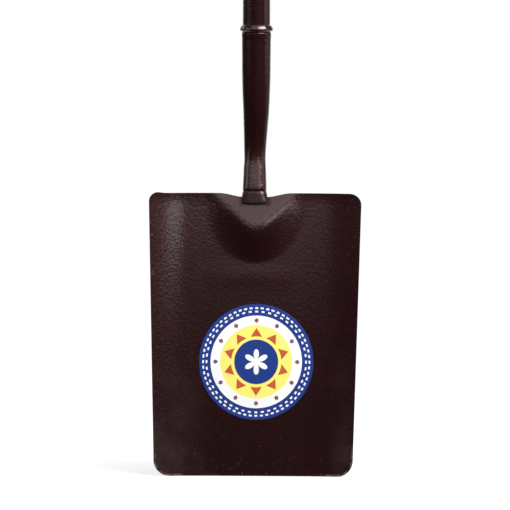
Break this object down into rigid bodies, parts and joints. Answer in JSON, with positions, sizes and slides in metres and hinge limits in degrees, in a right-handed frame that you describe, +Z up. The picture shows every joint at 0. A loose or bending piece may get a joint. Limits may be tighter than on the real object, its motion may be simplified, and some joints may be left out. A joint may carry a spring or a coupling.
{
  "type": "taper mouth shovel",
  "caption": "All steel digging and loading shovel: a dished square pan with a slight taper, forged neck, welded tube shaft and D handle",
  "frame": {"origin": "the middle of the mouth's edge, on the ground", "axes": "+Z up the shaft, +Y to the back of the pan, +X to the right of someone who looks at the working face"},
  "size_m": [0.2438, 0.1052, 1.0308],
  "materials": {
    "maroon_paint": "dark maroon hammered powder coat, half gloss",
    "label_face": "printed plastic sticker, satin"
  },
  "bodies": {
    "root": {"forged_head": "maroon_paint", "socket_weld": "maroon_paint", "shaft_tube": "maroon_paint", "yoke_weld": "maroon_paint", "yoke_front_shell": "maroon_paint", "yoke_back_shell": "maroon_paint", "yoke_seam_weld_left": "maroon_paint", "yoke_seam_weld_right": "maroon_paint", "yoke_crotch_weld": "maroon_paint", "grip_tube": "maroon_paint", "grip_weld_left": "maroon_paint", "grip_weld_right": "maroon_paint", "label": "label_face"}
  },
  "joints": []
}
